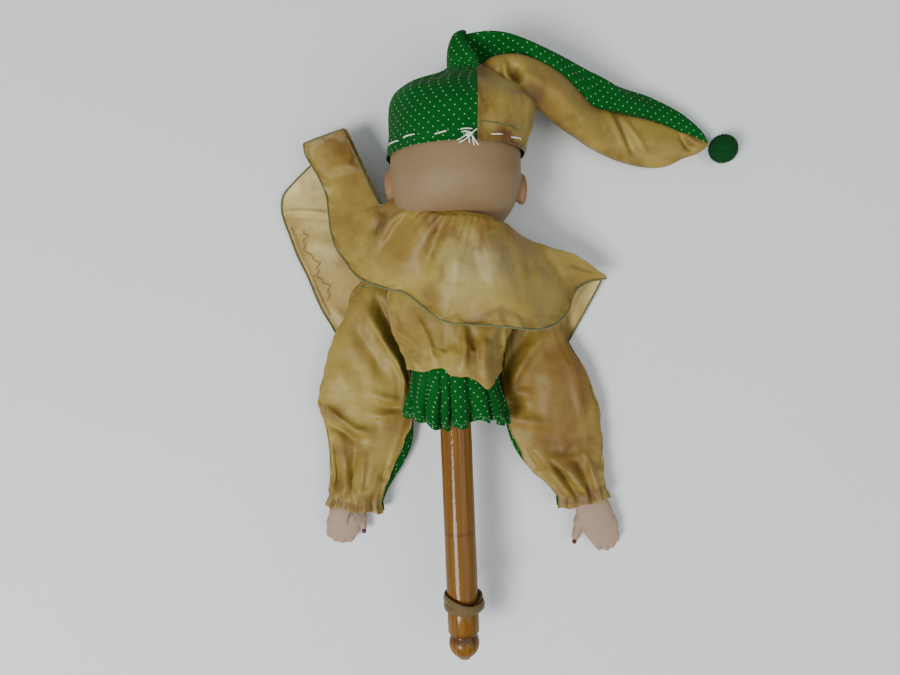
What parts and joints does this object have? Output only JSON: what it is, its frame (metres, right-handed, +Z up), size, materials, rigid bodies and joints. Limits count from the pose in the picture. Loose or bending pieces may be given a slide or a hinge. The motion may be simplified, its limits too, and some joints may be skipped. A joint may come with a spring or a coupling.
{
  "type": "stick puppet",
  "caption": "Jester stick puppet with a bisque head and hands, satin and cotton costume, pointed cap with a pompom, and a turned wooden handle.",
  "frame": {"origin": "on the flat underside of the front collar layer, below the handle's axis, where the puppet lies face down on a surface", "axes": "+Y along the handle towards the cap, +Z up from the surface out of the puppet's back, +X to the right seen from above"},
  "size_m": [0.2497, 0.3116, 0.0685],
  "materials": {
    "varnished_wood": "amber varnish, satin to gloss",
    "bisque": "unglazed flesh-tinted bisque porcelain, matte",
    "green_cotton": "green cotton with small pale pin dots, matte",
    "cream_satin": "tea-stained cream satin with a soft sheen",
    "olive_thread": "olive green sewing thread",
    "white_thread": "white sewing thread",
    "elastic": "brown covered elastic cord",
    "wadding": "cotton wadding",
    "cork": "cork",
    "pompom_yarn": "deep green cut yarn"
  },
  "bodies": {
    "puppet": {"handle": "varnished_wood", "head": "bisque", "neck_plug": "cork", "neck_thread": "white_thread", "torso_back": "cream_satin", "torso_front": "green_cotton", "body_pad": "wadding", "waist_cord": "white_thread", "peplum": "green_cotton", "collar_front": "cream_satin", "collar_front_edging": "olive_thread", "collar_back": "cream_satin", "collar_back_edging": "olive_thread", "cap_green": "green_cotton", "cap_cream": "cream_satin", "cap_peak": "green_cotton", "brim_basting": "white_thread", "basting_knot": "white_thread"},
    "arm_left": {"sleeve_back_left": "cream_satin", "sleeve_front_left": "green_cotton", "cuff_elastic_left": "white_thread"},
    "hand_left_body": {"hand_left": "bisque", "wrist_tie_left": "olive_thread"},
    "arm_right": {"sleeve_back_right": "cream_satin", "sleeve_front_right": "green_cotton", "cuff_elastic_right": "white_thread"},
    "hand_right_body": {"hand_right": "bisque", "wrist_tie_right": "olive_thread"},
    "tail_root": {"tail_root_green": "green_cotton", "tail_root_cream": "cream_satin"},
    "tail_tip": {"tail_tip_green": "green_cotton", "tail_tip_cream": "cream_satin"},
    "pompom_body": {"pompom": "pompom_yarn", "pompom_thread": "white_thread"},
    "band": {"elastic_band": "elastic"}
  },
  "joints": [
    {"name": "shoulder_left", "type": "hinge", "parent": "puppet", "child": "arm_left", "pos_m": [-0.038, 0.025, 0.0085], "axis": [0, 0, -1], "range_deg": [0, 100]},
    {"name": "shoulder_right", "type": "hinge", "parent": "puppet", "child": "arm_right", "pos_m": [0.038, 0.025, 0.0085], "axis": [0, 0, 1], "range_deg": [0, 80]},
    {"name": "wrist_left", "type": "hinge", "parent": "arm_left", "child": "hand_left_body", "pos_m": [-0.055, -0.083, 0.0088], "axis": [0, 0, 1], "range_deg": [-15, 15]},
    {"name": "wrist_right", "type": "hinge", "parent": "arm_right", "child": "hand_right_body", "pos_m": [0.0675, -0.085, 0.0088], "axis": [0, 0, 1], "range_deg": [-15, 10]},
    {"name": "tail_swing", "type": "hinge", "parent": "puppet", "child": "tail_root", "pos_m": [0.042, 0.133, 0.036], "axis": [0, 0, 1], "range_deg": [-8, 60]},
    {"name": "tail_bend", "type": "hinge", "parent": "tail_root", "child": "tail_tip", "pos_m": [0.096, 0.104, 0.012], "axis": [0, 0, 1], "range_deg": [-35, 35]},
    {"name": "pompom_swing", "type": "hinge", "parent": "tail_tip", "child": "pompom_body", "pos_m": [0.141, 0.0976, 0.0082], "axis": [0, 0, 1], "range_deg": [-50, 50]},
    {"name": "band_slide", "type": "slide", "parent": "puppet", "child": "band", "axis": [0, 1, 0], "range_m": [-0.0085, 0.08]}
  ]
}
